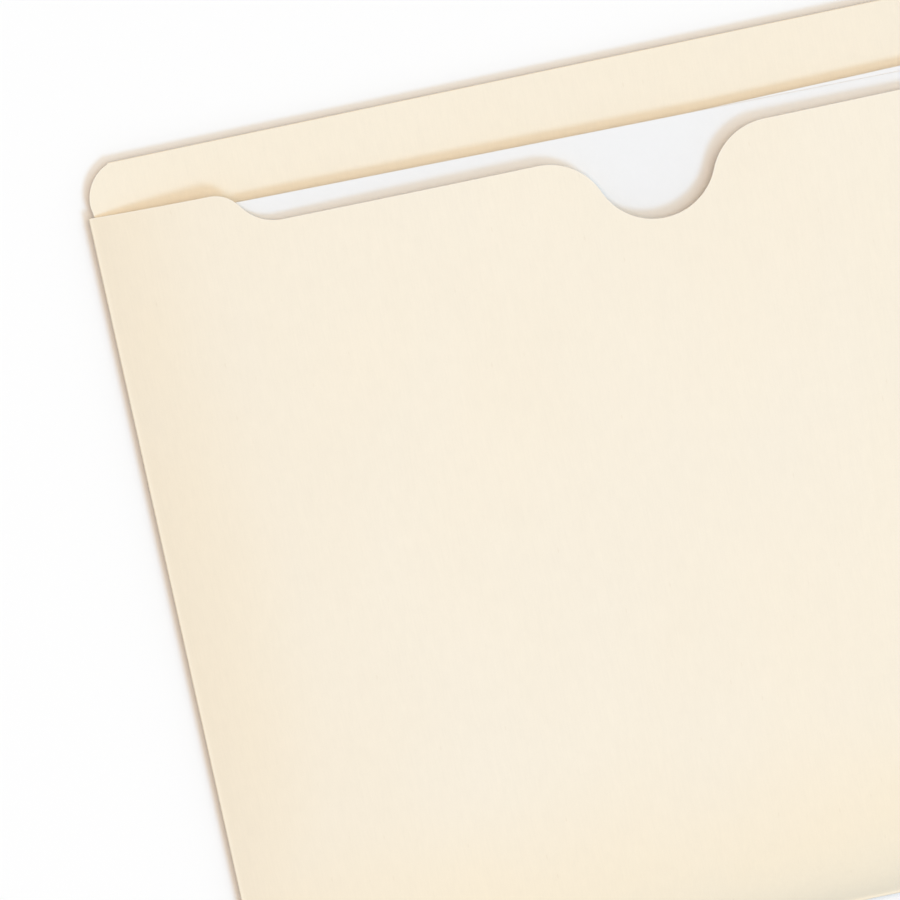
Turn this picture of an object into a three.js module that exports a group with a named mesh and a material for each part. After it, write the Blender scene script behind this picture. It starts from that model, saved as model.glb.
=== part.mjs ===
// A flat file jacket of letter size: a manila pocket, open along its top, with two documents in it.
// Lengths are in millimetres. X runs across the jacket, Y from the bottom crease up to the tab, and Z is
// the height above the table that the back panel lies on. The origin is the middle of the footprint.
//
// The jacket is one die-cut blank, creased and glued. Each panel, flap and crease of the blank is a piece
// of its own here, and they meet face to face along the crease lines.

import * as THREE from 'three';

// Documents: letter sheets lying sideways, a little bowed and a little askew
const documentWidth = 279.4;
const documentHeight = 215.9;
const documentRise = 1.1;
const documentBow = 2.8;
const documentBowMargin = 3.3;
const documentBowPower = 6;
const frontDocumentTurn = THREE.MathUtils.degToRad(-0.69);
const rearDocumentTurn = THREE.MathUtils.degToRad(0.7);

// Room around the documents inside the jacket, and how deep they are tucked below the shoulders
const sideRoom = 9.525;
const bottomRoom = 7.25;
const frontDocumentDrop = 4.6;
const rearDocumentDrop = 4.9;
const documentClearance = 0.3;
const documentSpacing = 0.2;

// Board, glue and writing paper
const boardThickness = 0.28;
const glueThickness = 0.05;
const paperThickness = 0.1;

// Tab along the top of the back panel
const tabHeight = 13.55;
const tabEndInset = 1.2;
const tabNeckInset = 1.6;
const tabCornerRadius = 11.0;
const tabCornerSweep = THREE.MathUtils.degToRad(68);
const reinforcementDepth = 25.4;

// Side flaps, which reach in from the side creases, and their clearances at both ends
const flapWidth = 25.4;
const flapTaper = 11.5;
const flapTopSetback = 0.5;
const flapBottomClearance = 1.5;

// How far the glue stays back from the edges of the boards that it joins
const sideGlueSetback = 6.0;
const tabGlueSetback = 2.0;

// Creases: the air left between the two boards where a crease is pressed
const creaseAir = 0.3;

// Top edge of the front panel, from each side crease inwards
const shoulderLength = 32.8;
const shoulderRound = 8.4;
const valleyRound = 12.1;
const shoulderSlope = THREE.MathUtils.degToRad(52);
const mouthDrop = 9.58;

// Thumb cut in the middle of the front panel
const thumbCutDepth = 20.36;
const thumbCutRadius = 16.33;
const thumbLipRadius = 16.55;

// How the front panel stands up: the air over the documents at the mouth and at their bottom edge, and
// the distance from a side crease in which the panel does most of its rise
const mouthAir = 4.6;
const bottomAir = 0.8;
const sideRun = 32.0;

// Fineness of the faceted surfaces
const arcSegments = 4;
const creaseSegments = 5;
const longestPanelSpan = 7.0;
const pillowRows = 14;
const edgeRows = 3;
const edgeBand = 8.0;
const documentColumns = 28;
const documentRows = 6;

// Heights of the stacked layers
const glueTop = boardThickness + glueThickness;
const flapTop = glueTop + boardThickness;
const frontUnderside = flapTop + creaseAir;
const frontTop = frontUnderside + boardThickness;

// Radii of the creases, which join one board's face to another's
const sideCreaseRadius = (frontTop - glueTop) / 2;
const bottomCreaseRadius = frontTop / 2;
const tabCreaseRadius = flapTop / 2;

// Overall size, tab included
const jacketWidth = documentWidth + 2 * sideRoom;
const jacketHeight = bottomRoom + documentHeight + frontDocumentDrop + tabHeight;

// Lines that several pieces share
const halfWidth = jacketWidth / 2;
const bottomEdge = -jacketHeight / 2;
const topEdge = jacketHeight / 2;
const shoulderLine = topEdge - tabHeight;
const mouthLine = shoulderLine - mouthDrop;
const panelBottom = bottomEdge + bottomCreaseRadius;
const panelTop = topEdge - tabCreaseRadius;
const creaseLine = halfWidth - sideCreaseRadius;
const backHalfWidth = halfWidth - tabNeckInset;
const flapInnerEdge = halfWidth - flapWidth;
const flapBottom = panelBottom + flapBottomClearance;
const flapTopLine = shoulderLine - flapTopSetback;
const documentBottom = bottomEdge + bottomRoom;

// The reinforcement narrows below the shoulder line, side by side with the flaps' slanted ends
const flapSlant = flapTaper / (creaseLine - flapInnerEdge);
const reinforcementBottom = topEdge - reinforcementDepth;
const reinforcementHalfWidth = backHalfWidth - (shoulderLine - reinforcementBottom) / flapSlant;

// Round corners of the tab, no larger than the tab has room for
const cornerRoom = (panelTop - shoulderLine) / Math.sin(tabCornerSweep);
const cornerRadius = Math.min(tabCornerRadius, cornerRoom);
const cornerX = halfWidth - tabEndInset - cornerRadius;
const cornerY = panelTop - cornerRadius * Math.sin(tabCornerSweep);

// Top of the two documents at the middle of their bottom edge, and at the middle of the mouth
const documentsTop = flapTop + documentClearance + documentBow + 2 * paperThickness + documentSpacing;
const mouthRise = (documentRise * (mouthLine - documentBottom)) / documentHeight;

// The front panel's full rise, and the distance from the bottom crease in which it does most of that rise
const pillowHeight = documentsTop + mouthRise + mouthAir - frontUnderside;
const bottomShare = (documentsTop + bottomAir - frontUnderside) / pillowHeight;
const bottomRun = (documentBottom - panelBottom) / -Math.log(1 - bottomShare);

// Surface colours and sheens
const manila = new THREE.MeshStandardMaterial({ color: 0xf9eedb, roughness: 0.78, metalness: 0 });
const manilaCrease = new THREE.MeshStandardMaterial({ color: 0xf4e7cf, roughness: 0.82, metalness: 0 });
const whitePaper = new THREE.MeshStandardMaterial({ color: 0xf4f4f4, roughness: 0.7, metalness: 0 });
const dryGlue = new THREE.MeshStandardMaterial({ color: 0xe9dfc8, roughness: 0.45, metalness: 0 });

function namedMesh(name, geometry, material) {
  const mesh = new THREE.Mesh(geometry, material);
  mesh.name = name;
  return mesh;
}

// A flat layer cut to an outline, lying between two heights
function layer(name, outline, low, thickness, material) {
  const geometry = new THREE.ExtrudeGeometry(outline, {
    depth: thickness,
    bevelEnabled: false,
    curveSegments: arcSegments,
  });
  const mesh = namedMesh(name, geometry, material);
  mesh.position.z = low;
  return mesh;
}

// Both ends of the tab: a neck at the shoulder line, a lean outwards, and a large round corner that the
// tab's crease cuts short
function drawTabEnds(outline) {
  outline.lineTo(backHalfWidth, shoulderLine);
  outline.absarc(cornerX, cornerY, cornerRadius, 0, tabCornerSweep, false);
  outline.absarc(-cornerX, cornerY, cornerRadius, Math.PI - tabCornerSweep, Math.PI, false);
  outline.lineTo(-backHalfWidth, shoulderLine);
}

function backPanel() {
  const outline = new THREE.Shape();
  outline.moveTo(-backHalfWidth, panelBottom);
  outline.lineTo(backHalfWidth, panelBottom);
  drawTabEnds(outline);
  outline.closePath();
  return layer('back_panel', outline, 0, boardThickness, manila);
}

// The second ply of the tab, folded down over the inside of the back panel
function tabReinforcement() {
  const outline = new THREE.Shape();
  outline.moveTo(-reinforcementHalfWidth, reinforcementBottom);
  outline.lineTo(reinforcementHalfWidth, reinforcementBottom);
  drawTabEnds(outline);
  outline.closePath();
  return layer('tab_reinforcement', outline, glueTop, boardThickness, manila);
}

function tabGlue() {
  const top = panelTop - tabGlueSetback;
  const bottom = reinforcementBottom + tabGlueSetback;
  const bottomHalf = reinforcementHalfWidth - tabGlueSetback;
  const outline = new THREE.Shape([
    new THREE.Vector2(-bottomHalf, bottom),
    new THREE.Vector2(bottomHalf, bottom),
    new THREE.Vector2(cornerX, shoulderLine),
    new THREE.Vector2(cornerX, top),
    new THREE.Vector2(-cornerX, top),
    new THREE.Vector2(-cornerX, shoulderLine),
  ]);
  return layer('tab_glue', outline, boardThickness, glueThickness, dryGlue);
}

// A side flap, tapered at both ends. Side is -1 on the left and 1 on the right.
function sideFlap(name, side) {
  const corners = [
    new THREE.Vector2(side * flapInnerEdge, flapBottom + flapTaper),
    new THREE.Vector2(side * creaseLine, flapBottom),
    new THREE.Vector2(side * creaseLine, flapTopLine),
    new THREE.Vector2(side * flapInnerEdge, flapTopLine - flapTaper),
  ];
  return layer(name, new THREE.Shape(corners), glueTop, boardThickness, manila);
}

function sideGlue(name, side) {
  const outer = side * (creaseLine - sideGlueSetback);
  const inner = side * (flapInnerEdge + sideGlueSetback);
  const bottom = flapBottom + flapTaper;
  const top = flapTopLine - flapTaper;
  const outline = new THREE.Shape([
    new THREE.Vector2(inner, bottom),
    new THREE.Vector2(outer, bottom),
    new THREE.Vector2(outer, top),
    new THREE.Vector2(inner, top),
  ]);
  return layer(name, outline, boardThickness, glueThickness, dryGlue);
}

// A crease as a half ring of board drawn out along its line. At a turn of zero its hollow faces +X and its
// length runs towards -Y; the turn is about Z. Middle is the centre of the near end.
function crease(name, innerRadius, outerRadius, length, middle, turn) {
  const section = new THREE.Shape();
  section.moveTo(0, outerRadius);
  section.absarc(0, 0, outerRadius, Math.PI / 2, Math.PI * 1.5, false);
  if (innerRadius > 0) {
    section.lineTo(0, -innerRadius);
    section.absarc(0, 0, innerRadius, Math.PI * 1.5, Math.PI / 2, true);
  }
  section.closePath();
  const geometry = new THREE.ExtrudeGeometry(section, {
    depth: length,
    bevelEnabled: false,
    curveSegments: creaseSegments,
  });
  geometry.rotateX(Math.PI / 2);
  const mesh = namedMesh(name, geometry, manilaCrease);
  mesh.position.copy(middle);
  mesh.rotation.z = turn;
  return mesh;
}

function sideCrease(name, side) {
  const length = shoulderLine - flapBottom;
  const nearEnd = side < 0 ? shoulderLine : flapBottom;
  const height = (glueTop + frontTop) / 2;
  const middle = new THREE.Vector3(side * creaseLine, nearEnd, height);
  const turn = side < 0 ? 0 : Math.PI;
  return crease(name, sideCreaseRadius - boardThickness, sideCreaseRadius, length, middle, turn);
}

function bottomCrease() {
  const middle = new THREE.Vector3(-backHalfWidth, panelBottom, bottomCreaseRadius);
  const inner = bottomCreaseRadius - boardThickness;
  return crease('bottom_crease', inner, bottomCreaseRadius, 2 * backHalfWidth, middle, Math.PI / 2);
}

function tabCrease() {
  const end = cornerX + cornerRadius * Math.cos(tabCornerSweep);
  const middle = new THREE.Vector3(end, panelTop, tabCreaseRadius);
  return crease('tab_crease', 0, tabCreaseRadius, 2 * end, middle, -Math.PI / 2);
}

// The share of its full rise that the front panel has reached at a distance from a crease: it starts
// steeply and levels out, as board does that springs back from a crease.
function rise(distance, run) {
  return 1 - Math.exp(-Math.max(0, distance) / run);
}

// Height of the front panel's underside. The rise from the two side creases and that from the bottom
// crease are joined so that the lower of the two rules, with a soft passage between them.
function frontUndersideAt(x, y) {
  const across = rise(x + creaseLine, sideRun) * rise(creaseLine - x, sideRun);
  const fullAcross = rise(creaseLine, sideRun) ** 2;
  const fromSides = across / fullAcross;
  const fromBottom = rise(y - panelBottom, bottomRun);
  const product = fromSides * fromBottom;
  const total = fromSides + fromBottom - product;
  return frontUnderside + (total > 0 ? (pillowHeight * product) / total : 0);
}

// The top edge of the front panel's left half: shoulder, slope, mouth line, and the lip of the thumb cut.
// The two rounds of the slope shrink together where the drop has no room for them.
function frontEdgeHalf() {
  const path = new THREE.Path();
  const sine = Math.sin(shoulderSlope);
  const cosine = Math.cos(shoulderSlope);
  const roundsDrop = (shoulderRound + valleyRound) * (1 - cosine);
  const shrink = Math.min(1, mouthDrop / roundsDrop);
  const upper = shoulderRound * shrink;
  const lower = valleyRound * shrink;
  const straight = (mouthDrop - roundsDrop * shrink) / sine;
  const shoulderEnd = -halfWidth + shoulderLength;
  const valleyX = shoulderEnd + (upper + lower) * sine + straight * cosine;
  const quarter = Math.PI / 2;
  path.moveTo(-creaseLine, shoulderLine);
  path.lineTo(shoulderEnd, shoulderLine);
  path.absarc(shoulderEnd, shoulderLine - upper, upper, quarter, quarter - shoulderSlope, true);
  path.absarc(valleyX, mouthLine + lower, lower, -quarter - shoulderSlope, -quarter, false);
  const lipY = mouthLine - thumbLipRadius;
  const cutY = mouthLine - thumbCutDepth + thumbCutRadius;
  const lipX = Math.sqrt((thumbLipRadius + thumbCutRadius) ** 2 - (cutY - lipY) ** 2);
  const bend = Math.atan2(lipX, cutY - lipY);
  path.absarc(-lipX, lipY, thumbLipRadius, quarter, quarter - bend, true);
  path.absarc(0, cutY, thumbCutRadius, -quarter - bend, -quarter, false);
  return path.getPoints(arcSegments);
}

// Adds points along a line of points so that no step across is longer than the longest span
function withShortSteps(points) {
  const steps = [points[0]];
  for (let i = 1; i < points.length; i += 1) {
    const from = points[i - 1];
    const to = points[i];
    const count = Math.max(1, Math.ceil((to.x - from.x) / longestPanelSpan));
    for (let k = 1; k <= count; k += 1) {
      steps.push(new THREE.Vector2().lerpVectors(from, to, k / count));
    }
  }
  return steps.filter((point, i) => i === 0 || point.x - steps[i - 1].x > 1e-6);
}

function frontEdge() {
  const left = withShortSteps(frontEdgeHalf());
  const right = left.slice(0, -1).reverse().map((point) => new THREE.Vector2(-point.x, point.y));
  return left.concat(right);
}

// A closed slab over a grid of plan points: a lower skin, an upper skin one thickness above it, and a rim.
// Plan gives the point of column i and row j, and under gives the lower skin's height there.
function slab(name, columns, rows, plan, under, thickness, material) {
  const positions = [];
  for (const lift of [0, thickness]) {
    for (let j = 0; j <= rows; j += 1) {
      for (let i = 0; i <= columns; i += 1) {
        const point = plan(i, j);
        positions.push(point.x, point.y, under(point.x, point.y) + lift);
      }
    }
  }
  const at = (i, j, upper) => (upper ? (columns + 1) * (rows + 1) : 0) + j * (columns + 1) + i;
  const faces = [];
  const quad = (a, b, c, d) => faces.push(a, b, c, a, c, d);
  for (let j = 0; j < rows; j += 1) {
    for (let i = 0; i < columns; i += 1) {
      quad(at(i, j, true), at(i + 1, j, true), at(i + 1, j + 1, true), at(i, j + 1, true));
      faces.push(at(i, j), at(i + 1, j + 1), at(i + 1, j));
      faces.push(at(i, j), at(i, j + 1), at(i + 1, j + 1));
    }
  }
  for (let i = 0; i < columns; i += 1) {
    quad(at(i, 0), at(i + 1, 0), at(i + 1, 0, true), at(i, 0, true));
    quad(at(i + 1, rows), at(i, rows), at(i, rows, true), at(i + 1, rows, true));
  }
  for (let j = 0; j < rows; j += 1) {
    quad(at(columns, j), at(columns, j + 1), at(columns, j + 1, true), at(columns, j, true));
    quad(at(0, j + 1), at(0, j), at(0, j, true), at(0, j + 1, true));
  }
  const geometry = new THREE.BufferGeometry();
  geometry.setAttribute('position', new THREE.Float32BufferAttribute(positions, 3));
  geometry.setIndex(faces);
  geometry.computeVertexNormals();
  return namedMesh(name, geometry, material);
}

// The front panel: rows straight across up to a band below the thumb cut, then rows that bend to the edge
function frontPanel() {
  const edge = frontEdge();
  const straightTop = mouthLine - thumbCutDepth - edgeBand;
  const plan = (i, j) => {
    const x = edge[i].x;
    if (j <= pillowRows) {
      const share = (j / pillowRows) ** 2;
      return new THREE.Vector2(x, panelBottom + (straightTop - panelBottom) * share);
    }
    const share = (j - pillowRows) / edgeRows;
    return new THREE.Vector2(x, straightTop + (edge[i].y - straightTop) * share);
  };
  const columns = edge.length - 1;
  const rows = pillowRows + edgeRows;
  return slab('front_panel', columns, rows, plan, frontUndersideAt, boardThickness, manila);
}

// Height of the rear document's underside. Its section is the same all along the way it slides, so both
// documents can be drawn out one past the other.
function documentUndersideAt(x, y) {
  const slope = documentRise / documentHeight;
  const bowHalfWidth = documentWidth / 2 + documentBowMargin;
  const bow = documentBow * (1 - Math.abs(x / bowHalfWidth) ** documentBowPower);
  return flapTop + documentClearance + slope * (y - documentBottom) + bow;
}

function documentSheet(name, drop, turn, lift) {
  const middle = new THREE.Vector2(0, shoulderLine - drop - documentHeight / 2);
  const plan = (i, j) => {
    const across = (documentWidth / 2) * Math.sin(Math.PI * (i / documentColumns - 0.5));
    const along = documentHeight * (j / documentRows - 0.5);
    return new THREE.Vector2(across, along).rotateAround(new THREE.Vector2(), turn).add(middle);
  };
  const under = (x, y) => documentUndersideAt(x, y) + lift;
  return slab(name, documentColumns, documentRows, plan, under, paperThickness, whitePaper);
}

const jacket = new THREE.Group();
jacket.add(
  backPanel(),
  tabReinforcement(),
  tabGlue(),
  tabCrease(),
  sideFlap('left_side_flap', -1),
  sideFlap('right_side_flap', 1),
  sideGlue('left_side_glue', -1),
  sideGlue('right_side_glue', 1),
  sideCrease('left_side_crease', -1),
  sideCrease('right_side_crease', 1),
  bottomCrease(),
  frontPanel(),
  documentSheet('rear_document', rearDocumentDrop, rearDocumentTurn, 0),
  documentSheet('front_document', frontDocumentDrop, frontDocumentTurn, paperThickness + documentSpacing),
);

export default jacket;
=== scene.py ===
# %% [markdown]
# # A manila file jacket
#
# A file jacket is a flat pocket of stiff cream board. One blank is cut, scored, folded and glued: a back
# panel that ends in a tall tab, a front panel with a lower mouth line and a thumb cut, and two narrow flaps
# inside. Two letter sheets lie in it.
#
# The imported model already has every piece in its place, but with few faces. Board and sheets get finer twins
# here that stand on the same lines, and every piece a finish worked out from noise, not from a picture. The
# model is loaded first, because the lines are read from it.

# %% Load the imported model
import math

import bpy
import numpy as np
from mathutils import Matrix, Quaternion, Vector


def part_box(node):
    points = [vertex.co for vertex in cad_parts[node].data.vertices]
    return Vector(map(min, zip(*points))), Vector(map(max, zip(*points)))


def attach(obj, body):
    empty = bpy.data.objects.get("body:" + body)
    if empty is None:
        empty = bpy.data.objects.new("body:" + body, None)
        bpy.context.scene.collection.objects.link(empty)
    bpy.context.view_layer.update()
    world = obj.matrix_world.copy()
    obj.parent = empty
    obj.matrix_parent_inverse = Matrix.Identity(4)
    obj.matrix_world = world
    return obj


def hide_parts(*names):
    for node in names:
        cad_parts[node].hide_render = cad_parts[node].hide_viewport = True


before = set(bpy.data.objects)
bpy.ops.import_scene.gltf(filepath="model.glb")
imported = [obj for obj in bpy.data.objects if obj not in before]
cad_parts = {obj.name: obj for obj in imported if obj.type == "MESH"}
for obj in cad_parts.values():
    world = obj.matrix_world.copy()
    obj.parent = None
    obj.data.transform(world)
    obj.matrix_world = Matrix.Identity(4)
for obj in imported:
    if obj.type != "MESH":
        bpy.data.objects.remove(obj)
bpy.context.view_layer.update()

# %% [markdown]
# ## Lines that the pieces share
#
# A folded blank is drawn by its fold lines. Written down again as numbers they could drift away from the
# model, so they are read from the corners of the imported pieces. Shapes are worked out in millimetres, and
# turned into metres when a mesh is made.

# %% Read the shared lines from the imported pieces
MILLIMETRE = 0.001


def corners_of(node):
    """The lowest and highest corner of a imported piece, in millimetres."""
    low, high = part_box(node)
    return np.array(low) / MILLIMETRE, np.array(high) / MILLIMETRE


side_fold_low, side_fold_high = corners_of("left_side_crease")
bottom_fold_low, bottom_fold_high = corners_of("bottom_crease")
tab_fold_low, tab_fold_high = corners_of("tab_crease")
flap_low, flap_high = corners_of("left_side_flap")
tab_ply_low, tab_ply_high = corners_of("tab_reinforcement")
front_low, front_high = corners_of("front_panel")

half_width = -side_fold_low[0]
side_line = -side_fold_high[0]
shoulder_line = side_fold_high[1]
bottom_line = bottom_fold_high[1]
tab_line = tab_fold_low[1]
back_half_width = bottom_fold_high[0]
board = corners_of("back_panel")[1][2]
front_underside = front_low[2]
front_rise = front_high[2] - front_low[2] - board
print("board %.2f mm, front panel rises %.2f mm" % (board, front_rise))

# %% [markdown]
# ## Lengths of the cut shapes
#
# The corners of a box can't say how a curved edge runs, so the shapes of the die cut are named here: the
# rounded tab ends, the shoulder that dips to the mouth line, and the thumb cut with its two soft lips.

# %% Name the lengths of the cut shapes, in millimetres
TAB_END_INSET = 1.2
TAB_CORNER_RADIUS = 11.0
TAB_CORNER_SWEEP = 68.0
FLAP_TAPER = 11.5
TAB_PLY_SLANT = FLAP_TAPER / (flap_high[0] - flap_low[0])

SHOULDER_LENGTH = 32.8
SHOULDER_ROUND = 8.4
VALLEY_ROUND = 12.1
SHOULDER_SLOPE = 52.0
MOUTH_DROP = 9.58
THUMB_CUT_DEPTH = 20.36
THUMB_CUT_RADIUS = 16.33
THUMB_LIP_RADIUS = 16.55

mouth_line = shoulder_line - MOUTH_DROP
print("mouth line at %.2f mm, shoulder line at %.2f mm" % (mouth_line, shoulder_line))

# %% [markdown]
# ## A sheet as a closed skin
#
# Board and paper are thin slabs. Solidify could thicken a plane, but a cut edge is very slightly rounded, and
# not at all where a fold carries on from it. So a sheet is worked out as arrays: a grid of plan points, a
# height for each of its two skins, and two more rings of points round the border for the cut edge.
#
# Every point also stores how far it is from the nearest fold and the nearest cut, in millimetres, and how
# much the cream deepens there: painted shade along the side folds, a deeper tone along the bottom and the
# tab. The board's finish places its crushed edges, scored lines and deeper cream by them, and paper needs
# none.

# %% Build a sheet from arrays
CUT_EDGE_SOFTNESS = 0.05
JOINED_EDGE_SOFTNESS = 0.002
SHARP_ANGLE = math.radians(38)
SIDES = {"left": np.s_[:, 0], "right": np.s_[:, -1], "bottom": np.s_[0, :], "top": np.s_[-1, :]}


def border_of(rows, columns):
    """A grid's border points, anticlockwise seen from above, as row and column numbers."""
    index = np.arange(rows * columns).reshape(rows, columns)
    ring = np.concatenate([index[0, :-1], index[:-1, -1], index[-1, :0:-1], index[:0:-1, 0]])
    return ring // columns, ring % columns


def outward_of(outline):
    """Unit normals of an anticlockwise outline: the way from each point's neighbour before to its neighbour
    after, turned a quarter to the right."""
    way = np.roll(outline, -1, axis=0) - np.roll(outline, 1, axis=0)
    right = np.column_stack([way[:, 1], -way[:, 0]])
    return right / np.linalg.norm(right, axis=1, keepdims=True)


def in_scene(name, data):
    """A new object of the scene, made of a mesh, a lamp's data or a camera's."""
    thing = bpy.data.objects.new(name, data)
    bpy.context.scene.collection.objects.link(thing)
    return thing


def piece_from(name, points, faces, face_kinds, marks):
    """A mesh object at the origin from points in millimetres. Each mark stores a number at every point."""
    mesh = bpy.data.meshes.new(name)
    mesh.from_pydata((points * MILLIMETRE).tolist(), [], faces)
    mesh.polygons.foreach_set("material_index", np.asarray(face_kinds, np.int32))
    for mark, values in marks.items():
        attribute = mesh.attributes.new(mark, "FLOAT", "POINT")
        attribute.data.foreach_set("value", np.asarray(values, np.float32))
    mesh.shade_smooth()
    mesh.set_sharp_from_angle(angle=SHARP_ANGLE)
    mesh.update()
    print("%s: %d points, %d faces" % (name, len(points), len(faces)))
    return in_scene(name, mesh)


def quads_of(index, closed=False):
    """Faces between neighbours in a grid of point numbers, whose rows may be closed into rings."""
    if closed:
        index = np.column_stack([index, index[:, 0]])
    corners = [index[:-1, :-1], index[:-1, 1:], index[1:, 1:], index[1:, :-1]]
    return np.stack(corners, axis=-1).reshape(-1, 4)


def softness_of(shape, cut_sides, softness):
    """The softness on each cut side of a grid, and the joined one elsewhere, where a side meets a fold."""
    grid = np.full(shape, JOINED_EDGE_SOFTNESS)
    for side in cut_sides.split():
        grid[SIDES[side]] = softness
    return grid


def sheet_piece(name, x, y, low, high, cut_sides, to_fold=0.0, to_cut=0.0, shade_and_tone=0.0,
                softness=CUT_EDGE_SOFTNESS):
    """A closed sheet. X and y are a grid of plan points across the sheet, and low and high are the heights of
    its two skins. At the border both skins stop short of the plan by the softness there, and two rings stand
    on the plan itself, one softness in from each skin: together they are a cut edge with soft corners."""
    plan = np.stack([x, y], axis=-1)
    rows, columns = x.shape
    j, i = border_of(rows, columns)
    outline, inset = plan[j, i], softness_of(x.shape, cut_sides, softness)[j, i]
    skin = plan.copy()
    skin[j, i] = outline - outward_of(outline) * inset[:, None]
    flat = skin.reshape(-1, 2)
    points = np.concatenate([
        np.column_stack([flat, low.ravel()]),
        np.column_stack([flat, high.ravel()]),
        np.column_stack([outline, low[j, i] + inset]),
        np.column_stack([outline, high[j, i] - inset]),
    ])
    count, around = rows * columns, len(j)
    upward = quads_of(np.arange(count).reshape(rows, columns))
    ring, edge = j * columns + i, 2 * count + np.arange(around)
    rim = quads_of(np.stack([ring, edge, edge + around, ring + count]), closed=True)
    faces = np.concatenate([upward[:, ::-1], upward + count, rim])
    kinds = np.concatenate([np.zeros(2 * len(upward)), np.ones(len(rim))])
    marks = {}
    for mark, values in (("to_fold", to_fold), ("to_cut", to_cut), ("shade_and_tone", shade_and_tone)):
        on_grid = np.broadcast_to(values, (rows, columns))
        on_border = on_grid[j, i]
        marks[mark] = np.concatenate([on_grid.ravel(), on_grid.ravel(), on_border, on_border])
    return piece_from(name, points, faces.tolist(), kinds, marks)


# %% [markdown]
# ## Steps along a line
#
# Points have to lie close together near a fold, where the board bends within a millimetre, and may lie far
# apart in the middle of a panel. Steps that grow by a constant factor do that with few points.

# %% Space points along a line
FIRST_STEP = 0.12
STEP_GROWTH = 1.4


def growing_steps(length, longest):
    """Distances from 0 to a length. Each step is a constant factor longer than the one before, up to the
    longest step, and the last ones share what is left evenly."""
    steps, reached = [0.0], 0.0
    step = FIRST_STEP
    while step < longest and reached + step < length / 2:
        reached += step
        steps.append(reached)
        step *= STEP_GROWTH
    even = max(1, math.ceil((length - reached) / longest))
    return np.concatenate([steps[:-1], np.linspace(reached, length, even + 1)])


def steps_from_both_ends(length, longest):
    """Growing steps from each end of a length, which meet in its middle."""
    half = growing_steps(length / 2, longest)
    return np.concatenate([half, length - half[-2::-1]])


print("steps along 10 mm:", np.round(growing_steps(10.0, 2.0), 2))

# %% [markdown]
# ## Painted shade and a deeper tone near the folds
#
# The cream is a little deeper and warmer near the folds, most of all along the bottom. Along the side folds
# this is painted shade, where the pillow slopes away from the light. Along the bottom and the tab it is a
# deeper tone. It is a number at each point, which fades smoothly with the distance from a fold.

# %% Work out the painted shade and the deeper tone near the folds
# Strengths of the deeper cream: painted shade at the side folds, a deeper tone at the bottom and the tab.
SHADE_AT_SIDES, TONE_AT_BOTTOM, TONE_AT_TAB = 0.5, 1.0, 0.3
SIDE_FADE = (8.0, 36.0)
BOTTOM_FADE = (12.0, 64.0)
TAB_FADE = (14.0, 30.0)


def fading(distance, near_and_far):
    """1 up to the near distance and 0 from the far one. Between them it is t squared times (3 - 2 t), where
    t is the share of the way back from far to near."""
    near, far = near_and_far
    t = np.clip((far - distance) / (far - near), 0, 1)
    return t * t * (3 - 2 * t)


# The cream deepens near the folds: painted shade along the side folds, a deeper tone along the bottom.
def shade_and_tone_at(from_side, from_bottom):
    """The stronger of the sides' share and the bottom's share, each fading with its distance."""
    at_side = SHADE_AT_SIDES * fading(from_side, SIDE_FADE)
    at_bottom = TONE_AT_BOTTOM * fading(from_bottom, BOTTOM_FADE)
    return np.maximum(at_side, at_bottom)


print("handled, 20 mm from a side: %.2f" % shade_and_tone_at(20.0, 200.0))

# %% [markdown]
# ## How the front panel stands
#
# Board springs back from a crease: it climbs steeply at first, and then levels out over the sheets in the
# pocket. An exponential rise has that form. The rises from the sides and from the bottom are joined so that
# the lower one rules, with a soft passage between the two, which gives the pillow of a filled jacket.
#
# Right at a fold the board is still pressed flat, so the distance is eased in over the first half
# millimetre. Last comes cockle, the faint waviness that board takes up from damp air: a few long waves,
# about a tenth of a millimetre deep, that fade to nothing at the folds.

# %% Name the heights in the pocket, in millimetres
PAPER = 0.1
SHEET_HEIGHT = 215.9
SHEET_WIDTH = 279.4
SHEET_AIR_BELOW = 0.3
SHEET_SPACING = 0.2
SHEET_RISE = 1.1
SHEET_BOW = 2.8
BOTTOM_ROOM = 7.25
BOTTOM_AIR = 0.8

sheets_top = flap_high[2] + SHEET_AIR_BELOW + SHEET_BOW + 2 * PAPER + SHEET_SPACING
bottom_share = (sheets_top + BOTTOM_AIR - front_underside) / front_rise
bottom_run = (BOTTOM_ROOM - (bottom_line - bottom_fold_low[1])) / -math.log(1 - bottom_share)
print("sheets' top at their bottom edge: %.2f mm, bottom run %.1f mm" % (sheets_top, bottom_run))

# %% Work out the front panel's height
SIDE_RUN = 32.0
EASE_LENGTH = 0.6
EASE_FADE = 4.0
TINY = 1e-9
COCKLE_DEPTH = 0.14
COCKLE_WAVES = ((83.0, 140.0, 0.6), (-61.0, 97.0, 2.1), (47.0, 260.0, 4.0), (190.0, -39.0, 5.2))


def eased(distance):
    """The distance, held back near nothing: less the ease length times (1 - exp(-distance / ease length)),
    which is itself given back over the fade length."""
    held = EASE_LENGTH * (1 - np.exp(-distance / EASE_LENGTH)) * np.exp(-distance / EASE_FADE)
    return distance - held


def rise(distance, run):
    """The share of the full rise at a distance from a fold: 1 - exp(-distance / run)."""
    return 1 - np.exp(-eased(np.maximum(distance, 0.0)) / run)


def rise_share(x, y):
    """The two side rises multiplied and scaled to 1 in the middle give a; the bottom rise gives b. The share
    is a b / (a + b - a b), which is close to the smaller of the two."""
    a = rise(x + side_line, SIDE_RUN) * rise(side_line - x, SIDE_RUN) / rise(side_line, SIDE_RUN) ** 2
    b = rise(y - bottom_line, bottom_run)
    total = a + b - a * b
    return np.where(total > 0, a * b / np.maximum(total, TINY), 0.0)


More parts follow.
